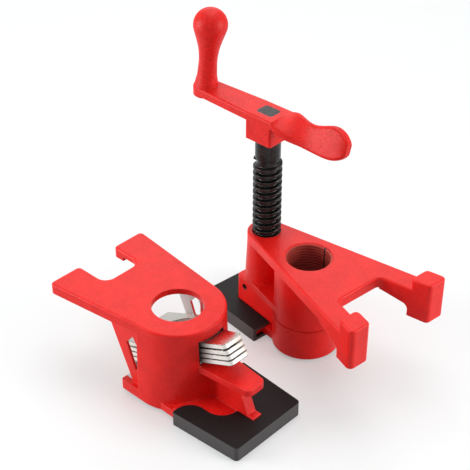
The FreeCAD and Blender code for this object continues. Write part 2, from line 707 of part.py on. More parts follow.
def clutch_plate(doc, number):
    label = "clutch_plate_%d" % (number + 1)
    body = doc.addObject("PartDesign::Body", label)
    body.Label = label
    tilt = size("plate_tilt")
    level = (size("plate_count") - 1) / 2 - number
    shift = size("plate_pitch") * level - size("plate_thick") / 2
    if number == 0:
        shift = shift + size("plate_lift")
    x = size("tail_x") - shift * sine(tilt)
    height = size("plate_height") + shift * cosine(tilt)
    body.Placement = FreeCAD.Placement(
        FreeCAD.Vector(x.value, size("tail_y").value, height.value),
        FreeCAD.Rotation(FreeCAD.Vector(0, -1, 0), tilt.value))
    bind(body, "Placement.Base.x", x)
    bind(body, "Placement.Base.y", size("tail_y"))
    bind(body, "Placement.Base.z", height)
    bind(body, "Placement.Rotation.Angle", tilt)
    plan = sketch_on(body, "plate_plan", "XY_Plane")
    reach = size("plate_tab_reach") + size("plate_step") * number
    ring, tail = size("plate_ring"), size("plate_tail_reach")
    outline(plan, mirrored([
        corner(-tail, -size("plate_tail_half"), size("plate_tail_round")),
        wrap(0, 0, ring),
        corner(ring, -size("plate_tab_root"), size("plate_tab_round")),
        corner(reach, -size("plate_tab_end"), size("plate_tab_round"))]))
    pad(body, "plate", plan, size("plate_thick"))
    bore = sketch_on(body, "plate_bore", "XY_Plane", size("plate_thick"))
    circle(bore, 0, 0, size("plate_hole"))
    cut(body, "bore", bore, size("plate_thick"))
    return body


# Clutch spring

def read(doc, name):
    return float(doc.getObject("sizes").get(name))


def arc_between(start, direction, end):
    """The arc that leaves a point in a given direction and ends at another."""
    reach = end - start
    across = reach - direction * reach.dot(direction)
    across.normalize()
    radius = reach.dot(reach) / (2 * reach.dot(across))
    centre = start + across * radius
    middle = (start - centre) + (end - centre)
    middle.normalize()
    return Part.Arc(start, centre + middle * radius, end).toShape()


def arc_pair(start, leaving, end, arriving):
    """Two arcs that join two points with given directions smoothly."""
    reach = end - start
    sum_of = leaving + arriving
    product = reach.dot(sum_of)
    spread = 2 * (1 - leaving.dot(arriving))
    length = (math.sqrt(product ** 2 + spread * reach.dot(reach)) - product) / spread
    middle = (start + leaving * length + end - arriving * length) * 0.5
    turn = middle - (start + leaving * length)
    turn.normalize()
    return [arc_between(start, leaving, middle), arc_between(middle, turn, end)]


def clutch_spring(doc):
    """A wire coil between the base and the tilted plates, lowest at the back."""
    wire, coil = read(doc, "spring_wire"), read(doc, "spring_coil")
    turns, gap = read(doc, "spring_turns"), read(doc, "seat_gap")
    tilt = math.radians(read(doc, "plate_tilt"))
    half_pack = (read(doc, "plate_pitch") * (read(doc, "plate_count") - 1)
                 + read(doc, "plate_thick")) / 2
    floor = read(doc, "base_top") + gap + wire
    ceiling = read(doc, "plate_height") - (half_pack + gap + wire) / math.cos(tilt)

    def place(angle):
        share = (angle - math.pi) / (2 * math.pi * turns)
        x = coil * math.cos(angle)
        rise = ceiling + x * math.tan(tilt) - floor
        return FreeCAD.Vector(x, coil * math.sin(angle), floor + share * rise)

    def direction(angle, step=0.0001):
        vector = place(angle + step) - place(angle - step)
        vector.normalize()
        return vector

    quarters = int(round(turns * 4))
    angles = [math.pi + 2 * math.pi * turns * i / quarters for i in range(quarters + 1)]
    edges = []
    for first, last in zip(angles, angles[1:]):
        edges += arc_pair(place(first), direction(first), place(last), direction(last))
    path = Part.Wire(edges)
    ring = Part.Wire(Part.makeCircle(wire, place(angles[0]), direction(angles[0])))
    shell = Part.BRepOffsetAPI.MakePipeShell(path)
    shell.add(ring)
    shell.build()
    shell.makeSolid()
    part = doc.addObject("Part::Feature", "clutch_spring")
    part.Label = "clutch_spring"
    part.Shape = shell.shape()
    part.Placement = FreeCAD.Placement(
        FreeCAD.Vector(read(doc, "tail_x"), read(doc, "tail_y"), 0), FreeCAD.Rotation())
    bind(part, "Placement.Base.x", size("tail_x"))
    bind(part, "Placement.Base.y", size("tail_y"))
    points = []
    for edge in edges:
        points += edge.discretize(12)[:-1]
    apart = len(points) // (2 * quarters) * 4
    least = min(points[i].distanceToPoint(points[j])
                for i in range(len(points)) for j in range(i + apart, len(points)))
    print("clutch_spring: least gap to itself %.2f mm" % (least - 2 * wire))
    return part


# Head fixture

def head_casting(doc):
    body = head_body(doc, "head_casting")
    nose, radius = size("spindle_x"), size("nose_radius")
    end, outer, inner = size("leg_end"), size("leg_outer"), size("leg_inner")
    notch, notch_half = size("head_notch"), size("head_notch_half")
    front, under, top = size("foot_front"), size("head_under"), size("head_top")
    inner_slope = (inner - notch_half) / (notch - end)
    outer_slope = tangent_slope(nose, radius, end, outer)

    def inner_at(x):
        return notch_half + inner_slope * (notch - x)

    def outer_at(x):
        return outer - outer_slope * (x - end)

    plate = sketch_on(body, "plate_plan", "XY_Plane", top)
    outline(plate, [wrap(nose, 0, radius), corner(end, outer, size("foot_corner")),
                    corner(end, inner, size("foot_corner")),
                    corner(notch, notch_half, size("head_notch_round")),
                    corner(notch, -notch_half, size("head_notch_round")),
                    corner(end, -inner, size("foot_corner")),
                    corner(end, -outer, size("foot_corner"))])
    pad(body, "plate", plate, top - under, backwards=True)
    level = top.value
    soften(body, "plate_edges", size("edge_round"), lambda edge: lies_at(edge, level))

    # Legs that deepen towards their feet.
    legs = sketch_on(body, "leg_plan", "XY_Plane", size("foot_low"))
    back = (front + end) / 2
    for side in (1, -1):
        outline(legs, [corner(notch, inner_at(notch) * side), corner(notch, outer_at(notch) * side),
                       corner(back, outer_at(back) * side), corner(back, inner_at(back) * side)])
    pad(body, "legs", legs, (under + top) / 2 - size("foot_low"))
    curve = sketch_on(body, "leg_side", "XZ_Plane")
    below = size("foot_low") * 2 - under
    outline(curve, [corner(notch, below), corner(notch, size("leg_low_notch")),
                    corner(front, size("leg_low_foot"), size("leg_hollow")), corner(front, below)])
    cut(body, "leg_underside", curve, outer * 4, both=True)
    feet = sketch_on(body, "foot_plan", "XY_Plane", size("foot_low"))
    for side in (1, -1):
        outline(feet, [corner(front, inner_at(front) * side, size("foot_corner")),
                       corner(front, outer_at(front) * side, size("foot_corner")),
                       corner(end, outer * side, size("foot_corner")),
                       corner(end, inner * side, size("foot_corner"))])
    pad(body, "feet", feet, size("foot_high") - size("foot_low"))
    crown = size("foot_high").value
    soften(body, "foot_edges", size("edge_round"), lambda edge: lies_at(edge, crown))

    # Bosses for the pipe and the screw, with the web and rim between them.
    boss = sketch_on(body, "boss_plan", "XY_Plane", size("boss_low"))
    circle(boss, 0, 0, size("pipe_boss"))
    pad(body, "pipe_boss", boss, (under + top) / 2 - size("boss_low"))
    low = sketch_on(body, "nut_low", "XY_Plane", size("nut_low"))
    circle(low, nose, 0, size("nut_boss_low"))
    high = sketch_on(body, "nut_high", "XY_Plane", (under + top) / 2)
    circle(high, nose, 0, size("nut_boss_top"))
    loft(body, "nut_boss", low, [high], True)
    web = sketch_on(body, "web_plan", "XY_Plane", size("nut_low"))
    half = size("middle_web_half")
    rectangle(web, size("thread_mouth"), nose - size("screw_radius"), -half, half)
    pad(body, "web", web, (under + top) / 2 - size("nut_low"))
    rim = sketch_on(body, "rim_plan", "XY_Plane", size("nut_low"))
    outline(rim, [wrap(0, 0, size("pipe_boss")), wrap(nose, 0, size("nut_boss_low"))])
    pad(body, "rim", rim, size("rim_top") - size("nut_low"))

    # Plain hole for the screw, threaded hole for the pipe.
    screw = sketch_on(body, "screw_hole_plan", "XY_Plane", top)
    circle(screw, nose, 0, size("screw_radius") + size("running_gap"))
    cut(body, "screw_hole", screw, top)
    pipe = sketch_on(body, "pipe_hole_plan", "XY_Plane", top)
    circle(pipe, 0, 0, size("thread_crest"))
    cut(body, "pipe_hole", pipe, top)
    mouth = sketch_on(body, "mouth_shape", "XZ_Plane")
    depth, crest = size("mouth_depth"), size("thread_crest")
    outline(mouth, [corner(0, top - depth), corner(crest, top - depth),
                    corner(size("thread_mouth"), top), corner(size("thread_mouth"), top + depth),
                    corner(0, top + depth)])
    revolve(body, "Groove", "mouth", mouth)
    groove = sketch_on(body, "thread_shape", "XZ_Plane")
    pitch, land = size("thread_pitch"), size("thread_pitch") * size("thread_land")
    begin = size("boss_low") - pitch
    outline(groove, [corner(crest - size("seat_gap"), begin - land),
                     corner(size("thread_root"), begin - land / 3),
                     corner(size("thread_root"), begin + land / 3),
                     corner(crest - size("seat_gap"), begin + land)])
    helix(body, "SubtractiveHelix", "thread", groove, pitch, top - size("boss_low") + pitch)
    return body


def helix(body, kind, name, sketch, pitch, height):
    item = body.newObject("PartDesign::" + kind, name)
    item.Profile = sketch
    item.ReferenceAxis = (sketch, ["V_Axis"])
    item.Mode = 0
    bind(item, "Pitch", pitch)
    bind(item, "Height", height)
    body.Document.recompute()
    return item


def lug_path(gap, back):
    """Plan of the sliding jaw's lug, drawn larger by a gap, from a given back edge."""
    slope = (size("lug_back_half") - size("lug_half")) / (size("lug_front") - size("collar_radius"))
    back_half = size("lug_half") + slope * (size("lug_front") - back) + gap
    return mirrored([corner(back, -back_half),
                     corner(size("lug_front") + gap, -size("lug_half") - gap,
                            size("lug_corner") + gap)])


def sliding_jaw(doc):
    body = head_body(doc, "sliding_jaw")
    low, none = size("pad_sole"), Size(0.0, "0")
    collar = sketch_on(body, "collar_plan", "XY_Plane", low)
    circle(collar, 0, 0, size("collar_radius"))
    pad(body, "collar", collar, size("collar_top") - low)
    jaw = sketch_on(body, "jaw_plan", "XY_Plane", low)
    inset = size("pad_wall") + size("seat_gap")
    start, front = size("head_pad_back") + size("pad_wall"), size("pad_front") - inset
    outline(jaw, mirrored([
        corner(0, -size("neck_half")), corner(start, -size("neck_half")),
        corner(start, -size("head_pad_half") + inset),
        corner(front, -size("head_pad_front_half") + inset, size("jaw_corner"))]))
    pad(body, "jaw_plate", jaw, size("pad_top") - size("pad_lip") - low)
    lug = sketch_on(body, "lug_plan", "XY_Plane", low)
    outline(lug, lug_path(none, size("collar_bore")))
    pad(body, "lug", lug, size("lug_top") - low)
    top = size("lug_top").value
    soften(body, "lug_edges", size("edge_round"), lambda edge: lies_at(edge, top))
    relief = sketch_on(body, "relief_plan", "XY_Plane", size("lug_top") + 1)
    circle(relief, 0, 0, size("collar_radius") + size("seat_gap"))
    cut(body, "relief", relief, size("lug_top") + 1 - size("collar_top"))
    bore = sketch_on(body, "collar_bore_plan", "XY_Plane", size("collar_top"))
    circle(bore, 0, 0, size("collar_bore"))
    cut(body, "collar_bore", bore, size("collar_top"))
    journal = sketch_on(body, "journal_plan", "XY_Plane", size("lug_top"))
    circle(journal, size("spindle_x"), 0, size("shank_radius") + size("running_gap"))
    cut(body, "journal_bore", journal, size("lug_top") - size("journal_low") + size("seat_gap"))
    pin = sketch_on(body, "pin_shape", "XZ_Plane")
    circle(pin, size("pin_x"), size("pin_height"), size("pin_radius") + size("running_gap") / 2)
    cut(body, "pin_hole", pin, size("lug_back_half") * 3, both=True)
    return body


def retaining_pin(doc):
    body = head_body(doc, "retaining_pin")
    shape = sketch_on(body, "pin_shape", "XZ_Plane")
    circle(shape, size("pin_x"), size("pin_height"), size("pin_radius"))
    circle(shape, size("pin_x"), size("pin_height"), size("pin_hollow"))
    pad(body, "pin", shape, size("lug_half") * 2 - size("seat_gap"), both=True)
    return body


def head_jaw_pad(doc):
    body = head_body(doc, "head_jaw_pad")
    pad_shell(body, size("head_pad_back"), size("head_pad_half"), size("head_pad_front_half"))
    opening = sketch_on(body, "opening_plan", "XY_Plane", size("pad_top"))
    outline(opening, lug_path(size("lug_clearance"), size("head_pad_back") - size("pad_wall")))
    cut(body, "opening", opening, size("pad_lip"))
    return body


def hub_low():
    return size("screw_top") + size("shank_length")


def arm_low():
    return hub_low() + size("hub_height")


def arm_top():
    return arm_low() + size("arm_thick")


def arm_middle():
    return arm_low() + size("arm_thick") / 2


def spindle(doc):
    body = spindle_body(doc, "spindle", size("handle_turn"))
    shaft = sketch_on(body, "shaft_shape", "XZ_Plane")
    journal, root = size("shank_radius"), size("screw_root")
    groove, reach = size("journal_groove"), size("pin_radius") + size("seat_gap")
    fade = journal - root
    outline(shaft, [corner(0, size("journal_low")), corner(journal, size("journal_low")),
                    corner(journal, size("pin_height") - reach),
                    corner(groove, size("pin_height") - reach),
                    corner(groove, size("pin_height") + reach),
                    corner(journal, size("pin_height") + reach),
                    corner(journal, size("journal_top")), corner(root, size("journal_top") + fade),
                    corner(root, size("screw_top") - fade), corner(journal, size("screw_top")),
                    corner(journal, hub_low()), corner(0, hub_low())])
    revolve(body, "Revolution", "shaft", shaft)
    square = sketch_on(body, "square_plan", "XY_Plane", hub_low())
    rectangle(square, -size("square_long"), size("square_long"),
              -size("square_short"), size("square_short"), size("square_round"))
    pad(body, "square_end", square, arm_top() - hub_low())
    ridge = sketch_on(body, "ridge_shape", "XZ_Plane")
    begin = size("journal_top") + fade + size("screw_root_half")
    inside = root - size("seat_gap")
    outline(ridge, [corner(inside, begin - size("screw_root_half")),
                    corner(size("screw_radius"), begin - size("screw_crest_half")),
                    corner(size("screw_radius"), begin + size("screw_crest_half")),
                    corner(inside, begin + size("screw_root_half"))])
    run = size("screw_top") - fade - begin - size("screw_root_half")
    helix(body, "AdditiveHelix", "ridge", ridge, size("screw_pitch"), run)
    return body


def wing_section(body, name, half, thick, tilt=None, drop=None):
    """One section of the wing, a rounded bar across the arm's direction."""
    sketch = sketch_on(body, name, "YZ_Plane", size(name), -tilt if tilt else None)
    bind(sketch, "AttachmentOffset.Base.y", arm_middle() - drop if drop else arm_middle())
    rectangle(sketch, -half, half, -thick, thick, thick * size("wing_rounding"))
    return sketch


def crank_handle(doc):
    body = spindle_body(doc, "crank_handle", size("handle_turn"))
    half = size("arm_root_half")
    arm = sketch_on(body, "arm_plan", "XY_Plane", arm_low())
    outline(arm, [wrap(size("grip_reach"), 0, size("arm_end_half")), corner(half, half),
                  corner(size("wing_root"), half), corner(size("wing_root"), -half),
                  corner(half, -half)])
    pad(body, "arm", arm, size("arm_thick"))
    height = arm_top().value
    back = size("wing_root").value
    soften(body, "arm_edges", size("edge_round"),
           lambda edge: lies_at(edge, height) and edge.BoundBox.XMax > back + 0.1)
    hub = sketch_on(body, "hub_plan", "XY_Plane", hub_low())
    rectangle(hub, -half, half, -half, half, size("edge_round"))
    pad(body, "hub", hub, arm_middle() - hub_low())
    lobe_low = arm_low() - size("grip_boss_drop")
    lobe = sketch_on(body, "lobe_plan", "XY_Plane", lobe_low)
    circle(lobe, size("grip_reach"), 0, size("arm_end_half"))
    pad(body, "lobe", lobe, arm_middle() - lobe_low)

    # Grip, turned about its own axis, which leans towards the hub.
    grip = sketch_on(body, "grip_shape", "XZ_Plane", None, size("grip_lean"))
    bind(grip, "AttachmentOffset.Base.x", size("grip_reach"))
    bind(grip, "AttachmentOffset.Base.y", arm_middle())
    flare = size("grip_flare_rise")
    neck = flare + size("grip_neck_rise")
    bulb = neck + size("grip_bulb_rise")
    outline(grip, [corner(0, 0), corner(size("grip_foot"), 0),
                   corner(size("grip_flare"), flare, size("grip_flare_round")),
                   corner(size("grip_neck"), neck, size("grip_neck_round")),
                   wrap(0, bulb, size("grip_bulb")),
                   corner(0, bulb + size("grip_bulb") + size("grip_tip"))])
    revolve(body, "Revolution", "grip", grip)

    # Wing on the other side of the hub, twisted so that its near edge drops.
    thick, twist = size("wing_thick"), size("wing_blade_tilt")
    sections = [
        wing_section(body, "wing_root", half, size("arm_thick") / 2),
        wing_section(body, "wing_shoulder", size("wing_shoulder_half"), thick,
                     size("wing_shoulder_tilt"), size("wing_shoulder_drop")),
        wing_section(body, "wing_bend", size("wing_bend_half"), thick,
                     size("wing_bend_tilt"), size("wing_bend_drop")),
        wing_section(body, "wing_waist", size("wing_waist_half"), thick,
                     size("wing_waist_tilt"), size("wing_waist_drop")),
        wing_section(body, "wing_flare", size("wing_flare_half"), thick,
                     size("wing_flare_tilt"), size("wing_flare_drop")),
        wing_section(body, "wing_blade", size("wing_blade_half"), thick, twist),
        wing_section(body, "wing_tip", size("wing_tip_half"), thick, twist),
        wing_section(body, "wing_end", size("wing_end_half"), size("wing_end_thick"), twist)]
    loft(body, "wing", sections[0], sections[1:], False)

    hole = sketch_on(body, "square_plan", "XY_Plane", arm_top())
    gap = size("running_gap")
    rectangle(hole, -size("square_long") - gap, size("square_long") + gap,
              -size("square_short") - gap, size("square_short") + gap, size("square_round") + gap)
    cut(body, "square_hole", hole, arm_top() - hub_low())
    return body


def build(doc):
    plates = [clutch_plate(doc, number) for number in range(int(size("plate_count").value))]
    return [tail_casting(doc), tail_jaw_pad(doc)] + plates + [
        clutch_spring(doc), head_casting(doc), sliding_jaw(doc), retaining_pin(doc),
        head_jaw_pad(doc), spindle(doc), crank_handle(doc)]


def check(parts):
    for item in parts[0].Document.Objects:
        for state in item.State:
            if state in ("Invalid", "Error"):
                raise ValueError("%s is %s" % (item.Name, state))
    for part in parts:
        if part.Shape.isNull() or not part.Shape.isValid():
            raise ValueError("%s has no valid shape" % part.Label)
        print("%-24s volume %9.0f  solids %d  %s" % (
            part.Label, part.Shape.Volume, len(part.Shape.Solids), part.Shape.BoundBox))


def main():
    doc = FreeCAD.newDocument("pipe_clamp")
    make_sheet(doc)
    parts = build(doc)
    doc.recompute()
    check(parts)
    os.makedirs("parts", exist_ok=True)
    for part in parts:
        part.Shape.exportStep("parts/%s.step" % part.Label)


main()
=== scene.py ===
# %% [markdown]
# A woodworking pipe clamp has two iron fixtures that share a pipe: a head that
# pushes with a screw, and a tail that grips the pipe with tilted plates. The
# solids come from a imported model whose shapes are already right, so this scene
# dresses them: enamel, plastic, plated and blackened steel, light and a camera.

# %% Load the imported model
import math

import bpy
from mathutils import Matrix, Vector

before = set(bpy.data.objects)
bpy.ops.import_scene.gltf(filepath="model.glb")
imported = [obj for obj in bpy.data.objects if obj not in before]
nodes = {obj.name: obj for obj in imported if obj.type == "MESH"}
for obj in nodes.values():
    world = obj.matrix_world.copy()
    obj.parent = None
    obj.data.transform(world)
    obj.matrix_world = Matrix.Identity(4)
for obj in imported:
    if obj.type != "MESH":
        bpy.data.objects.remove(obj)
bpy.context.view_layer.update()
MM = 0.001
print("nodes:", ", ".join(sorted(nodes)))

# %% [markdown]
# Blender builds a material from nodes. They can be wired by hand in its editor,
# but a script repeats itself soon. A small helper that adds a node, sets its
# values and returns it keeps each finish short enough to read as a recipe.

# %% Helpers that add nodes
def new_material(name):
    material = bpy.data.materials.new(name)
    material.use_nodes = True
    material.node_tree.nodes.clear()
    return material, material.node_tree


def add(tree, kind, inputs=None, **settings):
    """A shader node with its inputs set to values or linked to other nodes."""
    node = tree.nodes.new("ShaderNode" + kind)
    for key, value in settings.items():
        setattr(node, key, value)
    for key, value in (inputs or {}).items():
        if isinstance(value, bpy.types.NodeSocket):
            tree.links.new(value, node.inputs[key])
        else:
            node.inputs[key].default_value = value
    return node


def math_node(tree, operation, first, second=0.0):
    return add(tree, "Math", {0: first, 1: second}, operation=operation).outputs[0]


def finish_material(material, tree, shader):
    output = add(tree, "OutputMaterial")
    tree.links.new(shader.outputs[0], output.inputs["Surface"])
    print("material:", material.name, "with", len(tree.nodes), "nodes")
    return material


def dress(material, *names):
    for name in names:
        slots = nodes[name].data.materials
        slots.clear()
        slots.append(material)


# %% [markdown]
# Real finishes vary from place to place. An image could hold that, but noise in
# the object's own space has no seams and no stretched corners. The noises here
# count features per metre, and remap turns their range into the one wanted.

# %% Helpers for patterns and colours
def noise(tree, scale, detail, roughness, stretch=None):
    """Noise in the object's own space, in features per metre."""
    vector = add(tree, "TexCoord").outputs["Object"]
    if stretch is not None:
        vector = add(tree, "Mapping", {"Vector": vector, "Scale": stretch}).outputs[0]
    node = add(tree, "TexNoise", {"Vector": vector, "Scale": scale, "Detail": detail,
                                  "Roughness": roughness})
    return node.outputs["Fac"]


def remap(tree, value, low, high, to_low=0.0, to_high=1.0):
    node = add(tree, "MapRange", {"Value": value, "From Min": low, "From Max": high,
                                  "To Min": to_low, "To Max": to_high})
    return node.outputs["Result"]


def blend_colours(tree, share, first, second):
    """The first colour where the share is nothing, the second where it is one."""
    share_in, first_in, second_in, colour_out = 0, 6, 7, 2
    node = add(tree, "Mix", data_type="RGBA", blend_type="MIX")
    for index, value in ((share_in, share), (first_in, first), (second_in, second)):
        if isinstance(value, bpy.types.NodeSocket):
            tree.links.new(value, node.inputs[index])
        else:
            node.inputs[index].default_value = value
    return node.outputs[colour_out]


# %% [markdown]
# A cast or moulded corner is never sharp. Rounding it in the mesh would change
# the imported solids, so the Bevel node only turns the shading there. Where the
# rounded direction differs from the true one there is an edge, and that gives a
# mask for worn edges and for painted edge highlights. Bump nodes add the fine skin.

# %% Helpers for corners and skin
BEVEL_SAMPLES = 6
EDGE_FROM, EDGE_FULL = 0.98, 0.80


def rounded(tree, radius):
    """The surface's direction with hard corners rounded."""
    return add(tree, "Bevel", {"Radius": radius}, samples=BEVEL_SAMPLES).outputs[0]


def edge_mask(tree, radius):
    """One along the edges, nothing on the open faces."""
    smooth = add(tree, "NewGeometry").outputs["Normal"]
    alike = add(tree, "VectorMath", {0: rounded(tree, radius), 1: smooth},
                operation="DOT_PRODUCT")
    return remap(tree, alike.outputs["Value"], EDGE_FROM, EDGE_FULL)


def bump(tree, height, strength, depth, normal=None):
    """The surface's direction once a pattern of heights has dented it."""
    inputs = {"Height": height, "Strength": strength, "Distance": depth}
    if normal is not None:
        inputs["Normal"] = normal
    return add(tree, "Bump", inputs).outputs[0]


# %% [markdown]
# Some finishes end at a known place, such as a bore or a window. Splitting the
# mesh there would change it, so these helpers measure from a point of the frame
# and turn a range of millimetres into a mask.

# %% Helpers for places on a piece
MM_PER_METRE = (1000.0, 1000.0, 1000.0)


def all_of(tree, *masks):
    share = masks[0]
    for mask in masks[1:]:
        share = math_node(tree, "MULTIPLY", share, mask)
    return share


def place_from(tree, x, y, z=0.0):
    """Distances from a point of the frame, in millimetres, on the three axes."""
    moved = add(tree, "Mapping", {"Vector": add(tree, "TexCoord").outputs["Object"],
                                  "Location": (-x, -y, -z), "Scale": MM_PER_METRE})
    return add(tree, "SeparateXYZ", {"Vector": moved.outputs[0]}).outputs


def reach(tree, axes):
    """Distance from the upright line through the point."""
    squares = [math_node(tree, "POWER", axes[k], 2.0) for k in (0, 1)]
    return math_node(tree, "SQRT", math_node(tree, "ADD", *squares))


def over(tree, value, limit):
    return math_node(tree, "GREATER_THAN", value, limit)


def under(tree, value, limit):
    return math_node(tree, "LESS_THAN", value, limit)


def size_of(tree, value):
    return math_node(tree, "ABSOLUTE", value)


def between(tree, value, low, high):
    return math_node(tree, "MULTIPLY", over(tree, value, low), under(tree, value, high))


def along(tree, axes, shares):
    """Distance along a slanted direction, from its shares on two of the axes."""
    parts = [math_node(tree, "MULTIPLY", axes[k], share) for k, share in shares.items()]
    return math_node(tree, "ADD", *parts)


# %% [markdown]
# The castings are grey iron under a thick red enamel. Enamel is a coloured layer
# with a clear, slightly soft gloss, and it follows the sand-cast skin below it:
# broad dips a few millimetres wide, and a fine orange-peel grain. Three noises
# feed one bump chain for that. The colour shifts a little: enamel pools darker in
# dips, and its edges are lighter, partly from a thinner, worn coat and partly as
# a painted highlight. The Bevel node rounds the corners by half a millimetre, as
# a poured coat does.

# %% Coat of red enamel
POOLED_RED = (0.735, 0.0090, 0.0068, 1.0)
SPREAD_RED = (0.85, 0.0135, 0.0098, 1.0)
GRAIN_RED = (0.89, 0.032, 0.025, 1.0)
WORN_EDGE_AND_HIGHLIGHT_RED = (0.95, 0.120, 0.100, 1.0)
COAT_ROUNDING = 0.5 * MM
COAT_EDGE = 0.7 * MM
COAT_ROUGHNESS = (0.32, 0.44)
COAT_SHEEN = 0.26


def enamel_coat(tree, corners):
    broad = noise(tree, 110.0, 3.0, 0.45)
    grain = noise(tree, 700.0, 3.0, 0.55)
    skin = noise(tree, 2400.0, 2.0, 0.6)
    colour = blend_colours(tree, remap(tree, broad, 0.3, 0.7), POOLED_RED, SPREAD_RED)
    colour = blend_colours(tree, remap(tree, grain, 0.48, 0.72, 0.0, 0.5), colour, GRAIN_RED)
    # edges lighter, partly as a worn coat and partly as a painted highlight
    worn_and_highlit_edge = all_of(tree, edge_mask(tree, COAT_EDGE), remap(tree, broad, 0.35, 0.6, 0.35, 0.85))
    colour = blend_colours(tree, worn_and_highlit_edge, colour, WORN_EDGE_AND_HIGHLIGHT_RED)
    start = rounded(tree, COAT_ROUNDING) if corners else None
    dips = bump(tree, broad, 0.14, 0.6 * MM, start)
    peel = bump(tree, grain, 0.45, 0.25 * MM, dips)
    fine = bump(tree, skin, 0.25, 0.08 * MM, peel)
    return colour, remap(tree, grain, 0.3, 0.7, *COAT_ROUGHNESS), fine


# %% Enamel with a change for one piece
def enamel(name, change=None, corners=True):
    material, tree = new_material(name)
    colour, rough, normal = enamel_coat(tree, corners)
    if change:
        colour, rough = change(tree, colour)
    shader = add(tree, "BsdfPrincipled", {
        "Base Color": colour, "Roughness": rough, "Normal": normal,
        "Specular IOR Level": COAT_SHEEN})
    return finish_material(material, tree, shader)


dress(enamel("red_enamel"), "sliding_jaw")

# %% [markdown]
# The crank handle was cast in coarser sand, so small dark pits show through its
# coat. More bump would only make it shine unevenly. Pits are dirt as much as
# depth, so they go into the colour, in patches.

# %% Stippled enamel on the crank handle
PIT_RED = (0.42, 0.012, 0.009, 1.0)
STIPPLED_ROUGHNESS = (0.40, 0.54)


def stippled(tree, colour):
    pits = noise(tree, 1300.0, 3.0, 0.65)
    patch = remap(tree, noise(tree, 70.0, 2.0, 0.5), 0.35, 0.65, 0.25, 1.0)
    share = all_of(tree, remap(tree, pits, 0.50, 0.66), patch)
    colour = blend_colours(tree, share, colour, PIT_RED)
    return colour, remap(tree, pits, 0.3, 0.7, *STIPPLED_ROUGHNESS)


dress(enamel("handle_enamel", stippled, corners=False), "crank_handle")

# %% [markdown]
# The clutch chamber of the tail is painted pale, as painted light that makes its
# pipe hole look bright from above, and the window round the tabs is nearly black
# with painted shade. The chamber has a round front and a square back, so two
# masks in millimetres from the pipe's middle line cover it, and a third covers
# the window.

# %% Painted pale light in the chamber and painted shade in the tail's window
TAIL = (-17.14, -33.98)
PAINTED_LIGHT_PALE, PAINTED_LIGHT_BRIGHT = (0.70, 0.69, 0.68, 1.0), (0.80, 0.79, 0.78, 1.0)
WINDOW_SHADE_BLACK = (0.030, 0.016, 0.014, 1.0)
FRONT_REACH, FRONT_BACK, FRONT_LEVELS = 21.7, -5.2, (7.5, 48.0)
SQUARE_LENGTH, SQUARE_HALF, SQUARE_LEVELS = (-24.0, -5.0), 23.1, (7.5, 45.8)
WINDOW_DEPTH, WINDOW_HALF, WINDOW_LEVELS = (21.6, 27.2), 9.2, (29.9, 45.8)
ENAMEL_ROUGHNESS, CHAMBER_ROUGHNESS = 0.38, 0.6


def lit_chamber_shaded_window(tree, colour):
    axes = place_from(tree, *TAIL)
    side = size_of(tree, axes[1])
    front = all_of(tree, over(tree, axes[0], FRONT_BACK),
                   under(tree, reach(tree, axes), FRONT_REACH),
                   between(tree, axes[2], *FRONT_LEVELS))
    square = all_of(tree, between(tree, axes[0], *SQUARE_LENGTH),
                    under(tree, side, SQUARE_HALF), between(tree, axes[2], *SQUARE_LEVELS))
    inside = math_node(tree, "MAXIMUM", front, square)
    # painted light: the chamber is coloured pale to stand for the light seen through its pipe
    # hole
    stain = noise(tree, 160.0, 3.0, 0.5)
    colour = blend_colours(tree, inside, colour,
                           blend_colours(tree, stain, PAINTED_LIGHT_PALE, PAINTED_LIGHT_BRIGHT))
    # painted shade: the window round the tabs is coloured nearly black
    window_shade = all_of(tree, between(tree, axes[0], *WINDOW_DEPTH),
                    under(tree, side, WINDOW_HALF), between(tree, axes[2], *WINDOW_LEVELS))
    colour = blend_colours(tree, window_shade, colour, WINDOW_SHADE_BLACK)
    return colour, remap(tree, inside, 0.0, 1.0, ENAMEL_ROUGHNESS, CHAMBER_ROUGHNESS)


dress(enamel("tail_enamel", lit_chamber_shaded_window), "tail_casting")

# %% [markdown]
# The pipe thread of the head was cut after painting: dark oil and painted shade
# lie in its grooves, its ridges carry a painted highlight, and an upright line
# crosses the turns on one side. The thread's form is in the solid already, so
# the distance from the bore's middle line is enough to tell a ridge from a groove.

# %% Oiled pipe thread of the head, with painted shade and highlights
HEAD = (10.58, 38.57)
GROOVE_OIL_AND_SHADE, RIDGE_HIGHLIGHT_RED = (0.075, 0.007, 0.005, 1.0), (0.48, 0.060, 0.045, 1.0)
SEAM_BLACK = (0.012, 0.003, 0.003, 1.0)
THREAD_REACH, THREAD_LEVELS = 13.7, (20.0, 58.2)
RIDGE_REACH, GROOVE_REACH = 12.95, 13.25
SEAM_ACROSS, SEAM_HALF = {0: 0.994, 1: -0.106}, 0.5
OILED_ROUGHNESS = 0.26


def oiled_shaded_and_highlit_head(tree, colour):
    axes = place_from(tree, *HEAD)
    away = reach(tree, axes)
    thread = all_of(tree, under(tree, away, THREAD_REACH),
                    between(tree, axes[2], *THREAD_LEVELS))
    # painted highlight on the ridges, and painted shade with oil in the grooves
    ridge_highlight = remap(tree, away, RIDGE_REACH, GROOVE_REACH, 1.0, 0.0)
    metal = blend_colours(tree, ridge_highlight, GROOVE_OIL_AND_SHADE, RIDGE_HIGHLIGHT_RED)
    across = size_of(tree, along(tree, axes, SEAM_ACROSS))
    seam = all_of(tree, under(tree, across, SEAM_HALF), over(tree, axes[1], 0.0))
    metal = blend_colours(tree, seam, metal, SEAM_BLACK)
    colour = blend_colours(tree, thread, colour, metal)
    return colour, remap(tree, thread, 0.0, 1.0, ENAMEL_ROUGHNESS, OILED_ROUGHNESS)


dress(enamel("head_enamel", oiled_shaded_and_highlit_head), "head_casting")

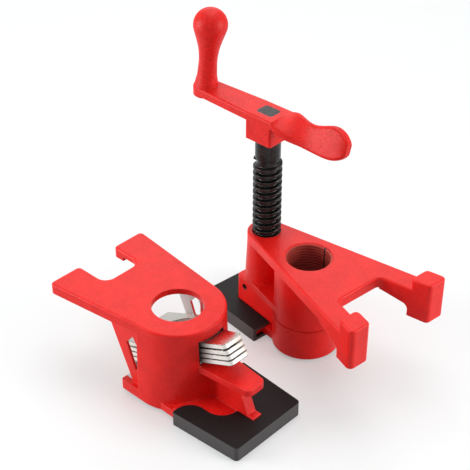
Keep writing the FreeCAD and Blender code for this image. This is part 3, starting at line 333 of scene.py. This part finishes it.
# %% [markdown]
# The jaw pads are injection-moulded plastic, matte on top from a spark-etched
# mould. Their sides are painted greyer as a painted reflection of the pale floor,
# and their edges are greyer where handling rubs them. One material can serve
# both: the Geometry node says which way a face points.

# %% Black moulded plastic on the pads
PLASTIC_DARK, PLASTIC_LIGHT = (0.0085, 0.0070, 0.0075, 1.0), (0.0130, 0.0110, 0.0115, 1.0)
PLASTIC_SIDE_REFLECTION, PLASTIC_EDGE = (0.085, 0.080, 0.081, 1.0), (0.095, 0.090, 0.091, 1.0)
SIDE_FULL, SIDE_FROM = 0.6, 0.9


def black_plastic():
    material, tree = new_material("black_plastic")
    etch = noise(tree, 2600.0, 3.0, 0.6)
    cloud = noise(tree, 60.0, 3.0, 0.5)
    colour = blend_colours(tree, remap(tree, cloud, 0.35, 0.7), PLASTIC_DARK, PLASTIC_LIGHT)
    facing = add(tree, "SeparateXYZ",
                 {"Vector": add(tree, "NewGeometry").outputs["True Normal"]})
    # painted reflection: faces that point sideways are greyer, as if they mirrored the pale
    # floor
    side = remap(tree, facing.outputs["Z"], SIDE_FULL, SIDE_FROM, 1.0, 0.0)
    colour = blend_colours(tree, side, colour, PLASTIC_SIDE_REFLECTION)
    rubbed = remap(tree, edge_mask(tree, 0.5 * MM), 0.0, 1.0, 0.0, 0.7)
    colour = blend_colours(tree, rubbed, colour, PLASTIC_EDGE)
    shader = add(tree, "BsdfPrincipled", {
        "Base Color": colour, "Roughness": remap(tree, cloud, 0.3, 0.7, 0.50, 0.60),
        "Normal": bump(tree, etch, 0.25, 0.06 * MM, rounded(tree, 0.45 * MM)),
        "Specular IOR Level": 0.18})
    return finish_material(material, tree, shader)


dress(black_plastic(), "tail_jaw_pad", "head_jaw_pad")

# %% [markdown]
# The four clutch plates lie in a tilted pack, and painted shade darkens the seams
# between them. The seams are thin lines along the sheared edges only. The pack's
# tilt and the plates' middle levels are known, so the distance to the nearest
# level tells where a rim is, and the way a face points tells a sheared edge from
# a flat side.

# %% Painted shade in the seams between the clutch plates
PACK_TILT = math.radians(22.5)
PACK_MIDDLE = 28.05
PLATE_LEVELS = (4.8, 1.5, -1.5, -4.5)
PLATE_HALF = 1.325
RIM_FROM, RIM_FULL = 0.32, 0.14
SHEARED_BELOW = 0.5


def near_rim(tree, axes):
    """One close to the top or bottom of any plate of the pack."""
    up = along(tree, axes, {0: -math.sin(PACK_TILT), 2: math.cos(PACK_TILT)})
    least = None
    for level in PLATE_LEVELS:
        away = size_of(tree, math_node(tree, "SUBTRACT", up, level))
        least = away if least is None else math_node(tree, "MINIMUM", least, away)
    return remap(tree, least, PLATE_HALF - RIM_FROM, PLATE_HALF - RIM_FULL)


def sheared_edge(tree):
    """One on the edges that the stamping tool cut, nothing on the flat sides."""
    facing = add(tree, "VectorMath", {0: add(tree, "NewGeometry").outputs["True Normal"],
                                      1: (-math.sin(PACK_TILT), 0.0, math.cos(PACK_TILT))},
                 operation="DOT_PRODUCT").outputs["Value"]
    return under(tree, size_of(tree, facing), SHEARED_BELOW)


print("plate levels:", PLATE_LEVELS, "half a plate:", PLATE_HALF, "mm")

# %% [markdown]
# The plates are stamped from spring steel and bright nickel plated. Plate on a
# stamping isn't a perfect mirror: rolling leaves faint lines along the strip, and
# the sheared edges are a little rougher. Noise stretched along the strip gives
# the rolled lines. Near the window the plates are darkened by painted shade and
# old oil.

# %% Nickel plate on the clutch plates
NICKEL, WARM_NICKEL = (0.93, 0.90, 0.85, 1.0), (0.84, 0.80, 0.73, 1.0)
SHADE_AND_OLD_OIL, SEAM_SHADE = (0.060, 0.052, 0.046, 1.0), (0.012, 0.010, 0.009, 1.0)
ROLLED_STRETCH = (90.0, 2600.0, 900.0)
WINDOW_PLACE, SHADE_FULL, SHADE_NONE = 22.0, 4.0, 11.0


def nickel_plate():
    material, tree = new_material("nickel_plate")
    rolled = noise(tree, 1.0, 3.0, 0.6, ROLLED_STRETCH)
    stain = noise(tree, 140.0, 4.0, 0.6)
    colour = blend_colours(tree, remap(tree, stain, 0.35, 0.75), NICKEL, WARM_NICKEL)
    axes = place_from(tree, *TAIL, PACK_MIDDLE)
    sheared = sheared_edge(tree)
    gap = size_of(tree, math_node(tree, "SUBTRACT", axes[0], WINDOW_PLACE))
    # painted shade: plates near the window are darkened, mixed with old oil
    shade = remap(tree, gap, SHADE_FULL, SHADE_NONE, 0.75, 0.0)
    colour = blend_colours(tree, shade, colour, SHADE_AND_OLD_OIL)
    # painted shade: the seams between the plates are darkened
    seam_shade = all_of(tree, near_rim(tree, axes), sheared)
    colour = blend_colours(tree, seam_shade, colour, SEAM_SHADE)
    rough = math_node(tree, "ADD", remap(tree, stain, 0.3, 0.7, 0.12, 0.22),
                      math_node(tree, "MULTIPLY", sheared, 0.16))
    shader = add(tree, "BsdfPrincipled", {
        "Base Color": colour, "Roughness": rough,
        "Metallic": remap(tree, sheared, 0.0, 1.0, 1.0, 0.35),
        "Normal": bump(tree, rolled, 0.10, 0.05 * MM, rounded(tree, 0.35 * MM))})
    return finish_material(material, tree, shader)


dress(nickel_plate(), "clutch_plate_1", "clutch_plate_2", "clutch_plate_3", "clutch_plate_4")

# %% [markdown]
# The screw is rolled from steel bar and blackened in hot salts, then oiled. The
# black layer is thin, so crests and handled places show a greyer metal through
# it, and the crests are lighter also as a painted highlight. Lathe marks run
# round the shaft, and noise squeezed along its height makes bands that imitate
# them.

# %% Blackened steel on the screw and the roll pin
SALT_BLACK, WORN_BLACK = (0.016, 0.015, 0.015, 1.0), (0.045, 0.043, 0.042, 1.0)
CREST_WEAR_AND_HIGHLIGHT = (0.22, 0.215, 0.21, 1.0)
TURNED_STRETCH = (60.0, 60.0, 5200.0)


def black_steel():
    material, tree = new_material("black_steel")
    turned = noise(tree, 1.0, 2.0, 0.5, TURNED_STRETCH)
    worn = noise(tree, 240.0, 5.0, 0.65)
    colour = blend_colours(tree, remap(tree, worn, 0.35, 0.75), SALT_BLACK, WORN_BLACK)
    # crests greyer, partly as wear through the black layer and partly as a painted highlight
    worn_and_highlit_crest = remap(tree, edge_mask(tree, 0.35 * MM), 0.0, 1.0, 0.0, 0.8)
    colour = blend_colours(tree, worn_and_highlit_crest, colour, CREST_WEAR_AND_HIGHLIGHT)
    shader = add(tree, "BsdfPrincipled", {
        "Base Color": colour, "Metallic": 0.75,
        "Roughness": remap(tree, worn, 0.3, 0.7, 0.22, 0.34),
        "Normal": bump(tree, turned, 0.12, 0.06 * MM, rounded(tree, 0.3 * MM)),
        "Specular IOR Level": 0.35})
    return finish_material(material, tree, shader)


dress(black_steel(), "spindle", "retaining_pin")

# %% [markdown]
# The clutch spring is hard-drawn wire. Drawing leaves fine lines along the wire,
# too fine to follow round each turn here, so a small grain stands for them.

# %% Spring wire
WIRE_GREY, WIRE_BRIGHT = (0.50, 0.50, 0.50, 1.0), (0.66, 0.65, 0.63, 1.0)


def spring_wire():
    material, tree = new_material("spring_wire")
    drawn = noise(tree, 2200.0, 3.0, 0.6)
    shader = add(tree, "BsdfPrincipled", {
        "Base Color": blend_colours(tree, drawn, WIRE_GREY, WIRE_BRIGHT), "Metallic": 1.0,
        "Roughness": remap(tree, drawn, 0.3, 0.7, 0.25, 0.38),
        "Normal": bump(tree, drawn, 0.12, 0.03 * MM)})
    return finish_material(material, tree, shader)


dress(spring_wire(), "clutch_spring")

# %% [markdown]
# A product photograph is taken on a pale sweep. A curved backdrop would do, but a
# large floor that glows a little towards the eye needs no edge to hide. Light
# Path tells the rays that see the floor from the rays that light the object, so
# the glow adds nothing to the castings, and their shadow stays on the floor.

# %% Floor
FLOOR_SIZE = 8.0
FLOOR_DARK, FLOOR_LIGHT = (0.56, 0.580, 0.580, 1.0), (0.60, 0.620, 0.620, 1.0)
FLOOR_BOUNCE = (0.42, 0.41, 0.41, 1.0)
FLOOR_GLOW = 0.33


def seen_rays(tree):
    """One for rays that carry what the eye sees, also by way of metal or glass."""
    path = add(tree, "LightPath").outputs
    seen = math_node(tree, "MAXIMUM", path["Is Camera Ray"], path["Is Glossy Ray"])
    return math_node(tree, "MAXIMUM", seen, path["Is Transmission Ray"])


def pale_floor():
    bpy.ops.mesh.primitive_plane_add(size=FLOOR_SIZE, location=(0.0, 0.0, 0.0))
    floor = bpy.context.object
    floor.name = "floor"
    material, tree = new_material("pale_floor")
    pale = blend_colours(tree, noise(tree, 3.0, 2.0, 0.5), FLOOR_DARK, FLOOR_LIGHT)
    seen = seen_rays(tree)
    shader = add(tree, "BsdfPrincipled", {
        "Base Color": blend_colours(tree, seen, FLOOR_BOUNCE, pale), "Roughness": 0.8,
        "Specular IOR Level": 0.0, "Emission Color": (1.0, 1.0, 1.0, 1.0),
        "Emission Strength": math_node(tree, "MULTIPLY", seen, FLOOR_GLOW)})
    floor.data.materials.append(finish_material(material, tree, shader))


pale_floor()

# %% [markdown]
# The world shows pale to the camera and to reflections, but lights the object
# more gently, so that the sides of the castings keep their depth.

# %% World
WORLD_SOFT, SOFT_STRENGTH = (1.0, 0.985, 0.985, 1.0), 0.36
WORLD_PALE, PALE_STRENGTH = (1.0, 0.995, 0.995, 1.0), 0.55


def studio_world():
    world = bpy.data.worlds.new("studio")
    bpy.context.scene.world = world
    world.use_nodes = True
    tree = world.node_tree
    tree.nodes.clear()
    soft = add(tree, "Background", {"Color": WORLD_SOFT, "Strength": SOFT_STRENGTH})
    pale = add(tree, "Background", {"Color": WORLD_PALE, "Strength": PALE_STRENGTH})
    mix = add(tree, "MixShader", {0: seen_rays(tree), 1: soft.outputs[0], 2: pale.outputs[0]})
    output = add(tree, "OutputWorld")
    tree.links.new(mix.outputs[0], output.inputs["Surface"])
    print("world:", world.name, "with", len(tree.nodes), "nodes")


studio_world()

# %% [markdown]
# Four soft boxes shape the castings. The overhead one and the one behind make
# the top faces bright. One low on each side draws the long highlights down the
# round bosses and leaves the middle of each darker. Point lamps would cut hard
# shadows; area lamps are what a studio's boxes are.

# %% Soft boxes
AIM = Vector((0.0, 0.01, 0.05))


def soft_box(name, place, width, height, radiance):
    """A square light of a known brightness: power is brightness times area times pi."""
    data = bpy.data.lights.new(name, "AREA")
    data.shape = "RECTANGLE"
    data.size = width
    data.size_y = height
    data.energy = radiance * width * height * math.pi
    lamp = bpy.data.objects.new(name, data)
    bpy.context.scene.collection.objects.link(lamp)
    lamp.location = place
    lamp.rotation_euler = (AIM - Vector(place)).to_track_quat("-Z", "Y").to_euler()
    print(name, "at", [round(v, 2) for v in place], "brightness", radiance)


soft_box("overhead", (-0.10, 0.20, 1.10), 0.8, 0.8, 2.7)
soft_box("behind", (-0.68, 0.72, 0.73), 0.9, 0.9, 1.4)
soft_box("left_side", (-0.58, -0.62, 0.24), 0.40, 0.5, 9.0)
soft_box("right_side", (0.64, 0.34, 0.22), 0.40, 0.5, 5.8)

# %% [markdown]
# The camera stands where the photographer's did: looking down by 34.6 degrees,
# with a long lens. Its place was worked out from the pipe holes and the edges.

# %% Camera
FOCUS = Vector((-0.061144, 0.056670, 0.030))
DISTANCE = 0.727273
DOWN = math.radians(34.5729)
ROUND = math.radians(43.1216)
SENSOR, LENS = 36.0, 93.24
NEAREST = 0.01
toward = Vector((-math.sin(ROUND) * math.cos(DOWN), math.cos(ROUND) * math.cos(DOWN),
                 -math.sin(DOWN)))
camera_data = bpy.data.cameras.new("camera")
camera_data.sensor_width = SENSOR
camera_data.lens = LENS
camera_data.clip_start = NEAREST
camera = bpy.data.objects.new("camera", camera_data)
bpy.context.scene.collection.objects.link(camera)
camera.location = FOCUS - toward * DISTANCE
camera.rotation_euler = toward.to_track_quat("-Z", "Y").to_euler()
bpy.context.scene.camera = camera
bpy.context.scene.view_settings.view_transform = "Standard"
print("camera at", [round(v, 3) for v in camera.location])
